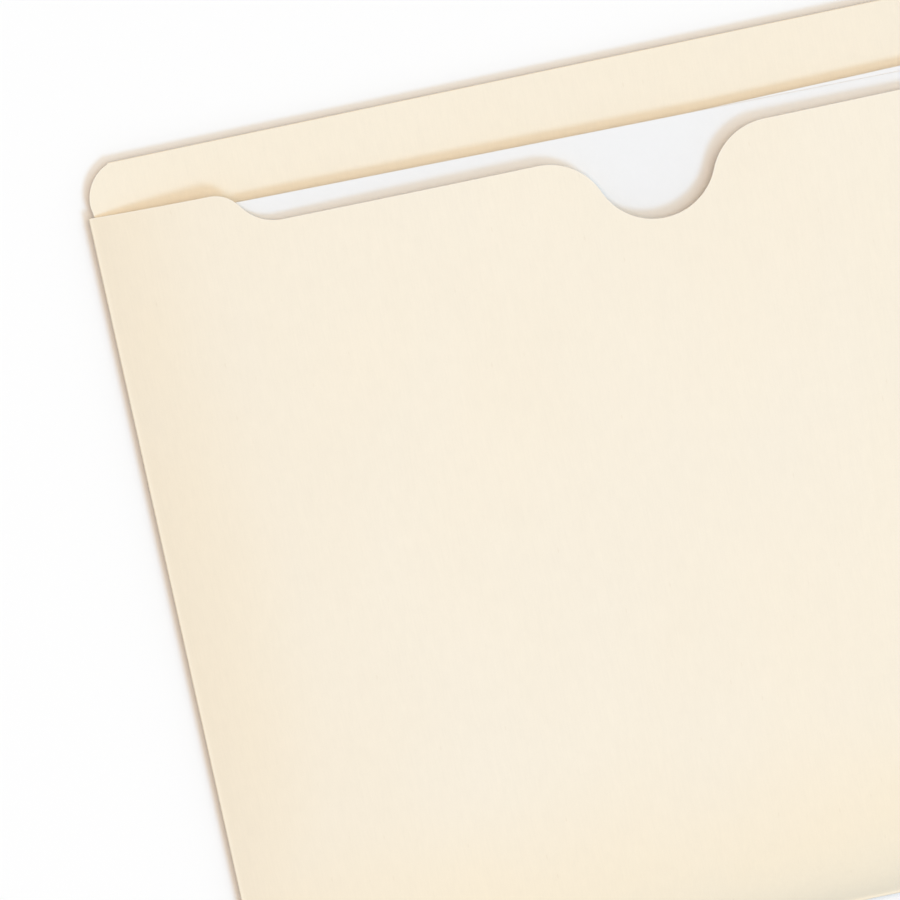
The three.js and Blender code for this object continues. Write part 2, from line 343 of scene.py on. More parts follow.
def cockle(x, y):
    """Waviness between -1 and 1: the average of plane waves. Each is the sine of a full turn for every
    length of its own gone along X and along Y, plus where it starts."""
    waves = sum(np.sin(2 * np.pi * (x / along_x + y / along_y) + start)
                for along_x, along_y, start in COCKLE_WAVES)
    return waves / len(COCKLE_WAVES)


def front_underside_at(x, y):
    """The lower skin's height: the height at the folds, plus the full rise times its share, less the
    cockle's depth times that share times (1 - waviness) / 2."""
    share = rise_share(x, y)
    return front_underside + front_rise * share - COCKLE_DEPTH * share * (1 - cockle(x, y)) / 2


print("height over the middle of the mouth: %.2f mm" % front_underside_at(0.0, mouth_line))

# %% [markdown]
# ## The front panel's cut edge
#
# The top edge runs flat along the shoulder, rounds over, slopes down, rounds into the mouth line, and swings
# round a lip into the thumb cut: a chain of straight runs and arcs that touch without a kink. One half is
# drawn and mirrored, as the die is symmetric.

# %% Draw the front panel's top edge
ARC_STEP = 3.0
PLAIN_STEP = 1.5


def on_circle(angles):
    """Points on a circle of radius 1 round the origin: cosine and sine of each angle."""
    return np.column_stack([np.cos(angles), np.sin(angles)])


def arc(centre, radius, start, end):
    """Points of an arc from one angle to another in degrees, in even steps."""
    count = max(2, math.ceil(abs(end - start) / ARC_STEP))
    return np.array(centre) + radius * on_circle(np.radians(np.linspace(start, end, count + 1)))


def run_along(start, end, height, longest=PLAIN_STEP):
    """Evenly spaced points of a level run between two x values."""
    count = max(1, math.ceil((end - start) / longest))
    return np.column_stack([np.linspace(start, end, count + 1), np.full(count + 1, height)])


def shoulder_and_slope():
    """The left half's shoulder, upper round, slope and lower round, ending on the mouth line."""
    slope = math.radians(SHOULDER_SLOPE)
    rounds = SHOULDER_ROUND + VALLEY_ROUND
    straight = (MOUTH_DROP - rounds * (1 - math.cos(slope))) / math.sin(slope)
    start = -half_width + SHOULDER_LENGTH
    valley = start + rounds * math.sin(slope) + straight * math.cos(slope)
    from_fold = growing_steps(start + side_line, PLAIN_STEP) - side_line
    shoulder = np.column_stack([from_fold, np.full(len(from_fold), shoulder_line)])
    upper = arc((start, shoulder_line - SHOULDER_ROUND), SHOULDER_ROUND, 90, 90 - SHOULDER_SLOPE)
    lower = arc((valley, mouth_line + VALLEY_ROUND), VALLEY_ROUND, 270 - SHOULDER_SLOPE, 270)
    return np.concatenate([shoulder, upper[1:], lower])


def lip_and_thumb_cut():
    """The left half's lip and thumb cut, ending at the lowest point of the cut. The two circles touch, so
    the lip's centre is one sum of radii from the cut's centre."""
    lip_y = mouth_line - THUMB_LIP_RADIUS
    cut_y = mouth_line - THUMB_CUT_DEPTH + THUMB_CUT_RADIUS
    lip_x = math.sqrt((THUMB_LIP_RADIUS + THUMB_CUT_RADIUS) ** 2 - (cut_y - lip_y) ** 2)
    bend = math.degrees(math.atan2(lip_x, cut_y - lip_y))
    lip = arc((-lip_x, lip_y), THUMB_LIP_RADIUS, 90, 90 - bend)
    cut = arc((0, cut_y), THUMB_CUT_RADIUS, 270 - bend, 270)
    return np.concatenate([lip, cut[1:]])


def front_top_edge():
    """The whole top edge from left to right."""
    first, last = shoulder_and_slope(), lip_and_thumb_cut()
    mouth = run_along(first[-1, 0], last[0, 0], mouth_line)
    left = np.concatenate([first, mouth[1:-1], last])
    mirrored = left[-2::-1] * [-1, 1]
    return np.concatenate([left, mirrored])


top_edge = front_top_edge()
print("top edge: %d points, %.1f mm across" % (len(top_edge), np.ptp(top_edge[:, 0])))

# %% [markdown]
# ## The front panel
#
# A flat face could be filled inside the cut edge, but a panel that rises needs points all over it. So it is
# one grid, with its columns on the points of the top edge. Its rows run straight across up to a line below
# the thumb cut, and above that they bend more and more until the last row is the edge itself.

# %% Build the front panel
EDGE_BAND = 9.0
STRAIGHT_ROW_STEP = 3.2
BAND_ROW_STEP = 1.2


def front_panel_plan():
    """Plan points, rows by edge points. In the band, y goes from the straight line to the edge by the same
    share in each column."""
    straight_top = mouth_line - THUMB_CUT_DEPTH - EDGE_BAND
    rows = bottom_line + growing_steps(straight_top - bottom_line, STRAIGHT_ROW_STEP)
    band = shoulder_line - straight_top
    share = 1 - growing_steps(band, BAND_ROW_STEP)[::-1] / band
    straight = np.repeat(rows[:, None], len(top_edge), axis=1)
    bent = straight_top + (top_edge[:, 1] - straight_top) * share[1:, None]
    y = np.concatenate([straight, bent])
    return np.broadcast_to(top_edge[:, 0], y.shape), y


def to_top_edge(y):
    """Distance below the top edge, measured square to it: the height difference times the cosine of the
    edge's own slope."""
    slope = np.gradient(top_edge[:, 1], top_edge[:, 0])
    return (top_edge[:, 1] - y) / np.sqrt(1 + slope**2)


def front_panel():
    """The front panel: cut along the top, joined to folds along its other sides."""
    x, y = front_panel_plan()
    low = front_underside_at(x, y)
    to_side, to_bottom = side_line - np.abs(x), y - bottom_line
    return sheet_piece("front_panel_board", x, y, low, low + board, "top",
                       np.minimum(to_side, to_bottom), to_top_edge(y), shade_and_tone_at(to_side, to_bottom))


front_panel_board = front_panel()

# %% [markdown]
# ## The back panel and the tab's second ply
#
# Both end in the same tab: a neck that stands in from the side fold, a lean outwards, and a large round
# corner that the fold along the top cuts short. Written as a half width that depends on the height, one
# function draws it for both, and the rows of their grids are simply stretched to that half width.

# %% Work out the tab's half width
tab_corner_x = half_width - TAB_END_INSET - TAB_CORNER_RADIUS
tab_corner_y = tab_line - TAB_CORNER_RADIUS * math.sin(math.radians(TAB_CORNER_SWEEP))


def tab_half_width(y):
    """Below the corner's centre, a straight lean from the neck out to the corner's widest point; above it,
    the corner's centre plus the root of radius squared less height squared."""
    lean = np.clip((y - shoulder_line) / (tab_corner_y - shoulder_line), 0, 1)
    widest = tab_corner_x + TAB_CORNER_RADIUS
    above = np.maximum(y - tab_corner_y, 0)
    corner = tab_corner_x + np.sqrt(TAB_CORNER_RADIUS**2 - above**2)
    return np.where(y <= tab_corner_y, back_half_width + (widest - back_half_width) * lean, corner)


tab_end = tab_half_width(np.array([tab_line]))[0]
print("tab fold reaches %.1f mm either side" % tab_end)

# %% [markdown]
# The tab of a real jacket isn't perfectly flat: away from its edges the second ply sinks by a hundredth of a
# millimetre or so, in waves. The back panel stays flat, as the jacket rests on it.

# %% Build the back panel and the tab's second ply
TAB_ROW_STEP = 0.7
BACK_ROW_STEP = 6.0
ACROSS_STEPS = 72
PLY_ROWS_BELOW = 12
PLY_RELIEF = 0.015
PLY_RELIEF_MARGIN = 2.0
PLY_WAVE_SCALE = 2.3


def shares_across(steps):
    """Places of columns from -1 to 1, closer together towards both ends: the sine of even angles."""
    return np.sin(np.linspace(-np.pi / 2, np.pi / 2, steps + 1))


def plan_with_tab(rows_below, halves_below, tab_top):
    """Plan points of rows below the shoulder line, with their half widths, and of fine rows up the tab, each
    stretched from minus to plus its half width; and how far every point is from the side cuts."""
    tab = run_along(shoulder_line, tab_top, 0.0, TAB_ROW_STEP)[1:, 0]
    halves = np.concatenate([halves_below, tab_half_width(tab)])[:, None]
    x = halves * shares_across(ACROSS_STEPS)
    y = np.broadcast_to(np.concatenate([rows_below, tab])[:, None], x.shape)
    return x, y, halves - np.abs(x)


def back_panel():
    """The back panel with the tab's outer ply: flat, cut along both sides, joined to a fold at the bottom
    and at the top."""
    below = bottom_line + growing_steps(shoulder_line - bottom_line, BACK_ROW_STEP)
    x, y, to_cut = plan_with_tab(below, np.full(len(below), back_half_width), tab_line)
    low = np.zeros_like(x)
    to_bottom, to_top = y - bottom_line, tab_line - y
    shade_and_tone = np.maximum(shade_and_tone_at(half_width, to_bottom), TONE_AT_TAB * fading(to_top, TAB_FADE))
    return sheet_piece("back_panel_board", x, y, low, low + board, "left right",
                       np.minimum(to_bottom, to_top), to_cut, shade_and_tone)


def tab_ply():
    """The second ply: its lower end narrows along the slanted ends of the flaps, and its top joins the
    fold. It sinks by the relief times (1 + waviness) / 2, less and less within the margin of an edge."""
    foot, base = tab_ply_low[1:]
    below = np.linspace(foot, shoulder_line, PLY_ROWS_BELOW)
    narrow = back_half_width - (shoulder_line - below) / TAB_PLY_SLANT
    x, y, to_side = plan_with_tab(below, narrow, tab_ply_high[1])
    to_fold, to_cut = tab_line - y, np.minimum(to_side, y - foot)
    inward = np.clip(to_fold / PLY_RELIEF_MARGIN, 0, 1) * np.clip(to_cut / PLY_RELIEF_MARGIN, 0, 1)
    waviness = cockle(PLY_WAVE_SCALE * x, PLY_WAVE_SCALE * y)
    high = base + board - PLY_RELIEF * inward * (1 + waviness) / 2
    low = np.full_like(x, base)
    return sheet_piece("tab_second_ply", x, y, low, high, "left right bottom", to_fold, to_cut, TONE_AT_TAB)


back_panel_board = back_panel()
tab_second_ply = tab_ply()

# %% [markdown]
# ## The side flaps
#
# A flap is a strip with both ends cut on a slant, so that it slips in without catching. It lies glued on the
# back panel, and turns up into the side fold along its outer side.

# %% Build the side flaps
FLAP_COLUMNS = 10
FLAP_ROW_STEP = 4.0


def side_flap(name, side):
    """A flap on the left (side -1) or right (side 1). Across, s goes from the inner cut to the fold; each
    end's height moves by the taper times (1 - s)."""
    s = np.linspace(0, 1, FLAP_COLUMNS + 1)
    inner, outer = -flap_high[0], -flap_low[0]
    length = flap_high[1] - flap_low[1]
    t = steps_from_both_ends(length, FLAP_ROW_STEP) / length
    bottom = flap_low[1] + FLAP_TAPER * (1 - s)
    top = flap_high[1] - FLAP_TAPER * (1 - s)
    y = bottom + (top - bottom) * t[:, None]
    x = np.broadcast_to(inner + (outer - inner) * s, y.shape)
    to_fold = outer - x
    to_cut = np.minimum(x - inner, np.minimum(y - bottom, top - y))
    if side < 0:
        x, y, to_fold, to_cut = -x[:, ::-1], y[:, ::-1], to_fold[:, ::-1], to_cut[:, ::-1]
    cut_sides = "bottom top " + ("left" if side > 0 else "right")
    low = np.full_like(x, flap_low[2])
    shade_and_tone = shade_and_tone_at(to_fold, y - bottom_line)
    return sheet_piece(name, x, y, low, low + board, cut_sides, to_fold, to_cut, shade_and_tone)


left_flap = side_flap("left_flap_board", -1)
right_flap = side_flap("right_flap_board", 1)

# %% [markdown]
# ## The folds
#
# A fold is a half ring of board: the outer skin goes round half a circle from one panel to the other, and
# the inner skin round a smaller one. The closed profile is carried along the fold line. A pressed fold is
# never quite even, so its outer radius breathes by a hundredth of a millimetre or so, most in the middle of
# the half circle and not at all where it meets a panel.

# %% Build the folds
FOLD_ARC_STEPS = 24
FOLD_STATION_STEP = 1.6
FOLD_BREATH = 0.035
FOLD_WAVES = ((3.1, 0.0), (7.7, 1.3), (19.0, 4.1))
OUTER_ARC_FROM = 0.99


def fold_profile(outer, inner):
    """Points round a half ring, as distance out from the fold line and height from its middle: the outer
    arc from bottom to top, then the inner arc back. An inner radius of nothing leaves the flat side."""
    half_circle = on_circle(np.linspace(-np.pi / 2, np.pi / 2, FOLD_ARC_STEPS + 1))
    inside = half_circle[::-1] * inner if inner > 0 else np.empty((0, 2))
    return np.concatenate([half_circle * outer, inside])


def carried_along(profile, outer, stations):
    """The profile repeated at each station. Points of the outer arc move in by the breath times (1 + the
    station's waviness) / 2, times the share that they stand out. The waviness is the average of sines of
    the station over a length, plus a start."""
    length = np.linalg.norm(profile, axis=1)
    share = np.where(length > outer * OUTER_ARC_FROM, profile[:, 0] / outer, 0.0)
    waviness = sum(np.sin(stations / wave + start) for wave, start in FOLD_WAVES) / len(FOLD_WAVES)
    stretch = 1 - FOLD_BREATH * share * (1 + waviness[:, None]) / 2
    return profile * stretch[..., None]


def fold_piece(name, place, outer, inner, stations, axis, shade_and_tone):
    """A fold along X (axis 0) or Y (axis 1). Place is the fold line's middle as the other coordinate and
    the height. The profile stands out towards the far side from the origin."""
    rings = carried_along(fold_profile(outer, inner), outer, stations)
    count, around = rings.shape[:2]
    points = np.zeros((count, around, 3))
    points[..., axis] = stations[:, None]
    points[..., 1 - axis] = place[0] + rings[..., 0] * np.sign(place[0])
    points[..., 2] = place[1] + rings[..., 1]
    index = np.arange(count * around).reshape(count, around)
    walls = quads_of(index, closed=True)
    faces = walls.tolist() + [index[0, ::-1].tolist(), index[-1].tolist()]
    if (axis == 0) != (place[0] > 0):
        faces = [face[::-1] for face in faces]
    kinds = np.append(np.zeros(len(walls)), [1, 1])
    marks = {
        "round_fold": rings[..., 0].ravel(),
        "shade_and_tone": np.repeat(np.broadcast_to(shade_and_tone, count), around),
    }
    return piece_from(name, points.reshape(-1, 3), faces, kinds, marks)


def stations_between(low, high):
    """Places along a fold, closer together at its two ends."""
    return low + steps_from_both_ends(high - low, FOLD_STATION_STEP)


side_radius = half_width - side_line
side_middle = (side_fold_low[2] + side_fold_high[2]) / 2
side_stations = stations_between(side_fold_low[1], side_fold_high[1])
side_shade_and_tone = shade_and_tone_at(0.0, side_stations - bottom_line)
side_shape = (side_radius, side_radius - board, side_stations, 1, side_shade_and_tone)
left_fold = fold_piece("left_side_fold", (-side_line, side_middle), *side_shape)
right_fold = fold_piece("right_side_fold", (side_line, side_middle), *side_shape)

bottom_radius = bottom_fold_high[2] / 2
bottom_stations = stations_between(-back_half_width, back_half_width)
bottom_fold = fold_piece("bottom_fold", (bottom_line, bottom_radius), bottom_radius, bottom_radius - board,
                         bottom_stations, 0, TONE_AT_BOTTOM)

tab_radius = tab_fold_high[2] / 2
tab_stations = stations_between(-tab_end, tab_end)
tab_fold = fold_piece("tab_fold", (tab_line, tab_radius), tab_radius, 0.0, tab_stations, 0, TONE_AT_TAB)

# %% [markdown]
# ## The two sheets
#
# Letter paper in a jacket bows a little across its width, and two sheets never lie quite square. Each sheet
# is a grid turned by less than a degree. Its height is a flat-topped bow across, the same all along the way
# that it slides, so one sheet can be drawn out past the other, and a very faint cockle, far smaller than the
# air between the sheets.

# %% Build the two sheets
SHEET_BOW_MARGIN = 3.3
SHEET_BOW_POWER = 6
SHEET_COCKLE = 0.03
SHEET_WAVE_SCALE = 1.7
SHEET_EDGE_SOFTNESS = 0.02
SHEET_COLUMNS = 150
SHEET_ROW_STEP = 2.4
FRONT_SHEET_DROP, FRONT_SHEET_TURN = 4.6, -0.69
REAR_SHEET_DROP, REAR_SHEET_TURN = 4.9, 0.7


def sheet_height_at(x, y):
    """The rear sheet's lower skin: the flaps' top, the air over them, a slight climb towards the tab, the
    bow times (1 - |x / bow half width| to the sixth power), and the cockle."""
    climb = SHEET_RISE / SHEET_HEIGHT * (y - (bottom_fold_low[1] + BOTTOM_ROOM))
    bow = SHEET_BOW * (1 - np.abs(x / (SHEET_WIDTH / 2 + SHEET_BOW_MARGIN)) ** SHEET_BOW_POWER)
    waves = SHEET_COCKLE * cockle(SHEET_WAVE_SCALE * x, SHEET_WAVE_SCALE * y)
    return flap_high[2] + SHEET_AIR_BELOW + climb + bow + waves


def letter_sheet(name, drop, turn, lift):
    """A sheet whose top edge lies a drop below the shoulder line, turned about its middle by degrees, and
    lifted above the rear sheet's place."""
    u = SHEET_WIDTH / 2 * shares_across(SHEET_COLUMNS)
    v = steps_from_both_ends(SHEET_HEIGHT, SHEET_ROW_STEP) - SHEET_HEIGHT / 2
    along, across = np.meshgrid(v, u, indexing="ij")
    angle = math.radians(turn)
    x = across * math.cos(angle) - along * math.sin(angle)
    y = across * math.sin(angle) + along * math.cos(angle) + shoulder_line - drop - SHEET_HEIGHT / 2
    low = sheet_height_at(x, y) + lift
    return sheet_piece(name, x, y, low, low + PAPER, "left right bottom top", softness=SHEET_EDGE_SOFTNESS)


front_sheet_lift = corners_of("front_document")[0][2] - corners_of("rear_document")[0][2]
front_sheet = letter_sheet("front_letter_sheet", FRONT_SHEET_DROP, FRONT_SHEET_TURN, front_sheet_lift)
rear_sheet = letter_sheet("rear_letter_sheet", REAR_SHEET_DROP, REAR_SHEET_TURN, 0.0)
print("front sheet lies %.2f mm above the rear sheet" % front_sheet_lift)

# %% [markdown]
# ## Node graphs in a few words
#
# Every finish below is a chain of the same few steps: take a place on the object, read noise there, turn it
# into a small change, and multiply that into a colour or a roughness. Small helpers keep the chains readable.
# Places are Object coordinates in millimetres, so a noise is named by its features a millimetre along X, Y
# and Z, and the pattern stays on a piece when it slides.

# %% Helpers for finishes
NOISE_LOW, NOISE_HIGH = 0.3, 0.7
SWING_LOW, SWING_HIGH = 0.25, 0.75
MIX_FIRST_COLOUR, MIX_SECOND_COLOUR, MIX_COLOUR_OUT = 6, 7, 2


def put(tree, value, socket):
    """Links an output to a socket, or sets a plain number or colour on it."""
    if isinstance(value, bpy.types.NodeSocket):
        tree.links.new(value, socket)
    else:
        socket.default_value = value


def add_node(tree, kind, inputs=(), **settings):
    """A new node with the given settings, and then a value or a link on each input that is named."""
    node = tree.nodes.new(kind)
    for key, value in settings.items():
        setattr(node, key, value)
    for key, value in dict(inputs).items():
        put(tree, value, node.inputs[key])
    return node


class Finish:
    """A material whose only shader is a Principled BSDF, with helpers that add nodes to it."""

    def __init__(self, name, specular):
        self.material = bpy.data.materials.new(name)
        self.material.use_nodes = True
        self.tree = self.material.node_tree
        self.shader = self.tree.nodes["Principled BSDF"]
        self.shader.inputs["Specular IOR Level"].default_value = specular
        self.place = self.add("ShaderNodeTexCoord").outputs["Object"]

    def add(self, kind, inputs=(), **settings):
        """A new node of this material."""
        return add_node(self.tree, kind, inputs, **settings)

    def stretched(self, features):
        """The place counted in features, so many a millimetre along X, Y and Z."""
        scale = [number / MILLIMETRE for number in features]
        return self.add("ShaderNodeMapping", {"Vector": self.place, "Scale": scale}).outputs["Vector"]

    def noise(self, features, detail=2.0, roughness=0.5):
        """Smooth noise between 0 and 1, mostly near a half. Detail adds finer layers to it, and roughness
        makes them stronger."""
        inputs = {"Vector": self.stretched(features), "Scale": 1.0, "Detail": detail, "Roughness": roughness}
        return self.add("ShaderNodeTexNoise", inputs).outputs["Fac"]

    def between(self, value, low, high, new_low, new_high, smooth=False):
        """The value moved from one range to another, and kept inside the new one."""
        inputs = enumerate((value, low, high, new_low, new_high))
        steps = "SMOOTHSTEP" if smooth else "LINEAR"
        return self.add("ShaderNodeMapRange", inputs, interpolation_type=steps).outputs["Result"]

    def spread(self, noise, low=0.0, high=1.0):
        """Noise moved from the range where most of it lies to a new range."""
        return self.between(noise, NOISE_LOW, NOISE_HIGH, low, high)

    def swing(self, noise, amount):
        """Noise turned into a factor that swings round 1 by the amount."""
        return self.between(noise, SWING_LOW, SWING_HIGH, 1 - amount, 1 + amount)

    def sum(self, *values, operation="ADD"):
        """All the values added, or joined by another operation."""
        result = values[0]
        for value in values[1:]:
            result = self.add("ShaderNodeMath", {0: result, 1: value}, operation=operation).outputs["Value"]
        return result

    def product(self, *values):
        """All the values multiplied."""
        return self.sum(*values, operation="MULTIPLY")

    def mark(self, name):
        """A number stored on the mesh, such as the distance to the nearest fold."""
        return self.add("ShaderNodeAttribute", attribute_name=name).outputs["Fac"]

    def mix(self, factor, first, second):
        """A colour that goes from the first to the second as the factor goes from 0 to 1."""
        inputs = {"Factor": factor}
        for number, colour in ((MIX_FIRST_COLOUR, first), (MIX_SECOND_COLOUR, second)):
            inputs[number] = colour if isinstance(colour, bpy.types.NodeSocket) else (*colour, 1.0)
        return self.add("ShaderNodeMix", inputs, data_type="RGBA").outputs[MIX_COLOUR_OUT]

    def dimmed(self, colour, factor):
        """A colour multiplied by a factor."""
        inputs = {"Vector": colour, "Scale": factor}
        return self.add("ShaderNodeVectorMath", inputs, operation="SCALE").outputs["Vector"]

    def completed(self, colour, roughness, height, depth):
        """The finish with its colour, its roughness and its relief: a height between 0 and 1 that stands for
        a depth in millimetres."""
        relief = {"Strength": 1.0, "Distance": depth * MILLIMETRE, "Height": height}
        normal = self.add("ShaderNodeBump", relief).outputs["Normal"]
        for value, name in ((colour, "Base Color"), (roughness, "Roughness"), (normal, "Normal")):
            put(self.tree, value, self.shader.inputs[name])
        return self


def paint(piece, *finishes):
    """Gives a piece its finishes: the first for its faces, the second for its cut edge."""
    piece.data.materials.clear()
    for finish in finishes:
        piece.data.materials.append(finish.material)


# %% [markdown]
# ## Manila board
#
# Manila board is a smooth, uncoated stock. Close to, it has three things: a cloudy look from how the fibres
# settled, a fine grain that runs with the length of the board, and a few darker fibre specks. A flat cream
# colour would look like plastic. Two creams, one a little warmer, are mixed by slow noise, then the cloud,
# the grain and the pores each dim or lift the result by about a hundredth.
#
# Where a die has cut the board the surface is crushed a little paler, and next to a fold the score leaves a
# narrow, smoother line. Both are placed by the distances stored on the mesh.

# %% Make the manila board finish
MANILA_PALE = (0.897, 0.825, 0.697)
MANILA_WARM = (0.901, 0.820, 0.679)
# A deeper, warmer cream near the folds: painted shade along the side folds, a deeper tone along the bottom and
# the tab.
MANILA_SHADE_AND_TONE = (0.908, 0.803, 0.628)
MANILA_SPECK = (0.62, 0.50, 0.34)
MANILA_CRUSHED = (0.93, 0.875, 0.77)
BOARD_SHINE, EDGE_SHINE = 0.28, 0.1

CLOUD, DRIFT = (0.03, 0.03, 0.03), (0.018, 0.012, 0.018)
FORMATION, GRAIN, PORES = (0.35, 0.22, 0.35), (2.1, 0.16, 2.1), (4.5, 3.2, 4.5)
BOARD_TOOTH, BOARD_FELT, FIBRES = (3.4, 2.6, 3.4), (0.5, 0.3, 0.5), (0.55, 0.16, 0.55)
FIBRE_SHARE, FIBRE_FADE, FIBRE_STRENGTH, FIBRE_CORE = 0.12, 0.8, 0.12, (0.05, 0.16)
CRUSHED_REACH, CRUSHED_STRENGTH = (0.05, 0.5), 0.55
SCORED_REACH, SCORED_SMOOTHER = (0.2, 1.1), 0.09
BOARD_RELIEF = 0.035


def manila_colour(finish):
    """Two creams mixed by slow noise, deepened near the folds by painted shade at the sides and a deeper tone
    at the bottom and the tab, times swings for cloud, formation, grain and pores."""
    cloud = finish.noise(CLOUD, 2.0)
    cream = finish.mix(finish.spread(finish.noise(DRIFT, 3.0)), MANILA_PALE, MANILA_WARM)
    # Painted shade along the side folds, and a deeper tone along the bottom and the tab, move the cream
    # towards a warmer one.
    shade_and_tone = finish.product(finish.mark("shade_and_tone"), finish.swing(cloud, 0.2))
    cream = finish.mix(shade_and_tone, cream, MANILA_SHADE_AND_TONE)
    factor = finish.product(
        finish.swing(cloud, 0.006),
        finish.swing(finish.noise(FORMATION, 4.0, 0.6), 0.010),
        finish.swing(finish.noise(GRAIN, 3.0, 0.55), 0.012),
        finish.swing(finish.noise(PORES, 2.0, 0.6), 0.012),
    )
    return finish.dimmed(cream, factor)


def specks(finish, features, share):
    """A mask of short fibres: in a stretched lattice of random points, the core of each cell, kept only in
    the share of cells whose random colour is high enough."""
    cells = finish.add("ShaderNodeTexVoronoi", {"Vector": finish.stretched(features), "Scale": 1.0})
    core = finish.between(cells.outputs["Distance"], *FIBRE_CORE, 1.0, 0.0, smooth=True)
    parts = finish.add("ShaderNodeSeparateColor", {"Color": cells.outputs["Color"]})
    kept = finish.between(parts.outputs["Red"], 1 - share, 1 - share * FIBRE_FADE, 0.0, 1.0)
    return finish.product(core, kept)


def manila_board():
    """The faces of every panel and flap."""
    finish = Finish("manila_board", BOARD_SHINE)
    colour = manila_colour(finish)
    fibres = finish.product(specks(finish, FIBRES, FIBRE_SHARE), FIBRE_STRENGTH)
    colour = finish.mix(fibres, colour, MANILA_SPECK)
    crushed = finish.between(finish.mark("to_cut"), *CRUSHED_REACH, CRUSHED_STRENGTH, 0.0, smooth=True)
    colour = finish.mix(crushed, colour, MANILA_CRUSHED)
    scored = finish.between(finish.mark("to_fold"), *SCORED_REACH, 1.0, 0.0, smooth=True)
    tooth = finish.noise(BOARD_TOOTH, 3.0, 0.6)
    felt = finish.noise(BOARD_FELT, 2.0)
    rough = finish.sum(finish.spread(tooth, 0.62, 0.74), finish.product(scored, -SCORED_SMOOTHER))
    height = finish.sum(finish.product(tooth, 0.35), finish.product(felt, 0.65))
    return finish.completed(colour, rough, height, BOARD_RELIEF)


EDGE_FUZZ = (7.0, 7.0, 7.0)
EDGE_DARKER = 0.97
EDGE_RELIEF = 0.02


def cut_edge(name, tone, layers_a_millimetre):
    """The edge of a cut sheet shows its fibres in layers: noise squeezed along Z, coarse along the cut."""
    finish = Finish(name, EDGE_SHINE)
    layers = finish.noise((0.9, 0.9, layers_a_millimetre), 3.0, 0.6)
    fuzz = finish.noise(EDGE_FUZZ, 2.0)
    factor = finish.product(finish.swing(layers, 0.04), finish.swing(fuzz, 0.02))
    base = finish.mix(finish.spread(fuzz), tone, [part * EDGE_DARKER for part in tone])
    height = finish.sum(finish.product(layers, 0.6), finish.product(fuzz, 0.4))
    return finish.completed(finish.dimmed(base, factor), finish.spread(fuzz, 0.85, 0.95), height, EDGE_RELIEF)


board_finish = manila_board()
board_edge_finish = cut_edge("manila_cut_edge", MANILA_CRUSHED, layers_a_millimetre=14.0)
print("board finish: %d nodes" % len(board_finish.tree.nodes))

# %% [markdown]
# ## The folded board
#
# On the outside of a fold the fibres are stretched: the cream turns a touch paler and smoother, and hairline
# cracks open along it. The board's own colour carries over, so a fold and the panel beside it look like one
# sheet. The cracks are noise drawn out along the fold, which runs along Y at the sides and along X at the
# bottom and the tab, so there are two versions of the finish.

# %% Make the fold finishes
FOLD_RUBBED = (0.925, 0.868, 0.758)
CRACK_RANGE, CRACK_STRENGTH, CRACK_DEPTH = (0.60, 0.70), 0.35, 0.02
RUB_PATCHES, RUB_RANGE, RUB_STRENGTH = (0.11, 0.11, 0.11), (0.42, 0.66), (0.15, 0.6)
ROUND_RANGE = (0.1, 0.5)


def manila_fold(name, crack_features):
    """The board's colour, a rubbed tone on the roundest part, and fine cracks along the fold."""
    finish = Finish(name, BOARD_SHINE)
    cracks = finish.noise(crack_features, 3.0, 0.65)
    open_crack = finish.between(cracks, *CRACK_RANGE, 0.0, 1.0, smooth=True)
    patches = finish.between(finish.noise(RUB_PATCHES, 3.0), *RUB_RANGE, *RUB_STRENGTH)
    roundest = finish.between(finish.mark("round_fold"), *ROUND_RANGE, 0.0, 1.0, smooth=True)
    colour = finish.mix(finish.product(patches, roundest), manila_colour(finish), FOLD_RUBBED)
    colour = finish.mix(finish.product(open_crack, CRACK_STRENGTH), colour, MANILA_CRUSHED)
    height = finish.sum(1.0, finish.product(open_crack, -0.8))
    return finish.completed(colour, finish.spread(cracks, 0.52, 0.68), height, CRACK_DEPTH)


fold_along_y = manila_fold("manila_fold_side", (3.5, 0.35, 3.5))
fold_along_x = manila_fold("manila_fold_level", (0.35, 3.5, 3.5))

# %% [markdown]
# ## White office paper
#
# Office paper is whiter and finer than board. It still has a cloudy formation and a fine tooth, both fainter
# and smaller, and a white that leans very slightly cool from the brightener in it. Its cut edge is a clean
# white line.

# %% Make the paper finish
PAPER_WHITE = (0.868, 0.871, 0.878)
PAPER_SHADE = (0.860, 0.862, 0.867)
PAPER_SHINE, PAPER_RELIEF = 0.25, 0.012
PAPER_CLOUD, PAPER_FORMATION, PAPER_TOOTH = (0.09, 0.09, 0.09), (0.9, 0.7, 0.9), (9.0, 7.0, 9.0)


def office_paper():
    """Two whites mixed by cloud, times swings for formation and tooth."""
    finish = Finish("white_paper", PAPER_SHINE)
    cloud = finish.spread(finish.noise(PAPER_CLOUD, 3.0))
    white = finish.mix(cloud, PAPER_WHITE, PAPER_SHADE)
    formation = finish.noise(PAPER_FORMATION, 4.0, 0.6)
    tooth = finish.noise(PAPER_TOOTH, 2.0, 0.6)
    factor = finish.product(finish.swing(formation, 0.006), finish.swing(tooth, 0.006))
    rough = finish.spread(tooth, 0.70, 0.80)
    height = finish.sum(finish.product(tooth, 0.5), finish.product(formation, 0.5))
    return finish.completed(finish.dimmed(white, factor), rough, height, PAPER_RELIEF)


paper_finish = office_paper()
paper_edge_finish = cut_edge("paper_cut_edge", PAPER_WHITE, layers_a_millimetre=40.0)

# %% [markdown]
# ## Dry glue
#
# The glue lines lie between two boards and show only at their rims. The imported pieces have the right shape
# and stay as they are. Dry paste is a little darker and shinier than board, and it dries in ripples.

# %% Make the glue finish
GLUE_THICK = (0.74, 0.66, 0.49)
GLUE_THIN = (0.84, 0.78, 0.64)
GLUE_SHINE, GLUE_RELIEF = 0.45, 0.02
GLUE_BLOTCHES, GLUE_RIPPLES = (0.22, 0.22, 0.22), (0.9, 0.12, 0.9)


